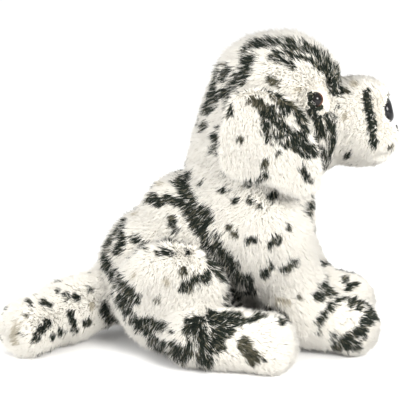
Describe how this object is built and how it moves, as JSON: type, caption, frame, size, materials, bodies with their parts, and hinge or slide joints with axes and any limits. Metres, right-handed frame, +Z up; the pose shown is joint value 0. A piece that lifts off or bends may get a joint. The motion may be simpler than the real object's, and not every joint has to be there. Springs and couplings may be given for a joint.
{
  "type": "plush dog",
  "caption": "Seated plush dog sewn from pile fabric panels over stuffing, with hanging ears, domed button eyes and nose, and limbs, tail and neck that flex at their seams.",
  "frame": {"origin": "centre of the bounding box in X and Y, on the plane the toy rests on", "axes": "+X forward, the way the face looks; +Y the toy's left; +Z up"},
  "size_m": [0.3618, 0.24, 0.294],
  "materials": {
    "plush": "matte",
    "ear_plush": "matte",
    "stuffing": "matte",
    "lining": "matte",
    "pellets": "matte",
    "washer": "satin",
    "eye": "gloss",
    "nose": "gloss",
    "thread": "satin"
  },
  "bodies": {
    "torso": {"torso_side_left": "plush", "torso_side_right": "plush", "belly_panel": "plush", "torso_stuffing": "stuffing", "bean_pouch": "lining", "bean_fill": "pellets"},
    "neck": {"neck_disc": "lining"},
    "head": {"head_gusset": "plush", "head_side_left": "plush", "head_side_right": "plush", "head_stuffing": "stuffing", "eye_left": "eye", "eye_right": "eye", "eye_washer_left": "washer", "eye_washer_right": "washer", "nose": "nose", "nose_washer": "washer", "mouth_stitch": "thread"},
    "ear_left": {"ear_inner_left": "ear_plush", "ear_outer_left": "ear_plush"},
    "ear_right": {"ear_inner_right": "ear_plush", "ear_outer_right": "ear_plush"},
    "front_leg_left": {"front_leg_outer_left": "plush", "front_leg_inner_left": "plush", "front_leg_stuffing_left": "stuffing"},
    "front_leg_right": {"front_leg_outer_right": "plush", "front_leg_inner_right": "plush", "front_leg_stuffing_right": "stuffing"},
    "hind_leg_left": {"hind_leg_outer_left": "plush", "hind_leg_inner_left": "plush", "hind_leg_stuffing_left": "stuffing"},
    "hind_leg_right": {"hind_leg_outer_right": "plush", "hind_leg_inner_right": "plush", "hind_leg_stuffing_right": "stuffing"},
    "tail": {"tail_left": "plush", "tail_right": "plush", "tail_stuffing": "stuffing"}
  },
  "joints": [
    {"name": "neck_turn", "type": "hinge", "parent": "torso", "child": "neck", "pos_m": [0.06704, 0, 0.226], "axis": [0, 0, 1], "range_deg": [-25, 25], "stiffness_Nm_per_rad": 0.8},
    {"name": "neck_nod", "type": "hinge", "parent": "neck", "child": "head", "pos_m": [0.06704, 0, 0.226], "axis": [0, 1, 0], "range_deg": [-8, 8], "stiffness_Nm_per_rad": 1.5},
    {"name": "ear_flap_left", "type": "hinge", "parent": "head", "child": "ear_left", "pos_m": [0.05904, 0.0692, 0.246], "axis": [1, 0, 0], "range_deg": [0, 60]},
    {"name": "ear_flap_right", "type": "hinge", "parent": "head", "child": "ear_right", "pos_m": [0.05904, -0.0692, 0.246], "axis": [-1, 0, 0], "range_deg": [0, 60]},
    {"name": "front_leg_swing_left", "type": "hinge", "parent": "torso", "child": "front_leg_left", "pos_m": [0.05704, 0.039, 0.106], "axis": [0, 1, 0], "range_deg": [-20, 12], "stiffness_Nm_per_rad": 0.6},
    {"name": "front_leg_swing_right", "type": "hinge", "parent": "torso", "child": "front_leg_right", "pos_m": [0.05704, -0.039, 0.106], "axis": [0, 1, 0], "range_deg": [-20, 12], "stiffness_Nm_per_rad": 0.6},
    {"name": "hind_leg_swing_left", "type": "hinge", "parent": "torso", "child": "hind_leg_left", "pos_m": [-0.02296, 0.066, 0.058], "axis": [0, 1, 0], "range_deg": [-15, 12], "stiffness_Nm_per_rad": 0.6},
    {"name": "hind_leg_swing_right", "type": "hinge", "parent": "torso", "child": "hind_leg_right", "pos_m": [-0.02296, -0.066, 0.058], "axis": [0, 1, 0], "range_deg": [-15, 12], "stiffness_Nm_per_rad": 0.6},
    {"name": "tail_wag", "type": "hinge", "parent": "torso", "child": "tail", "pos_m": [-0.09096, -0.002, 0.041], "axis": [0, 0, 1], "range_deg": [-35, 15], "stiffness_Nm_per_rad": 0.25}
  ]
}
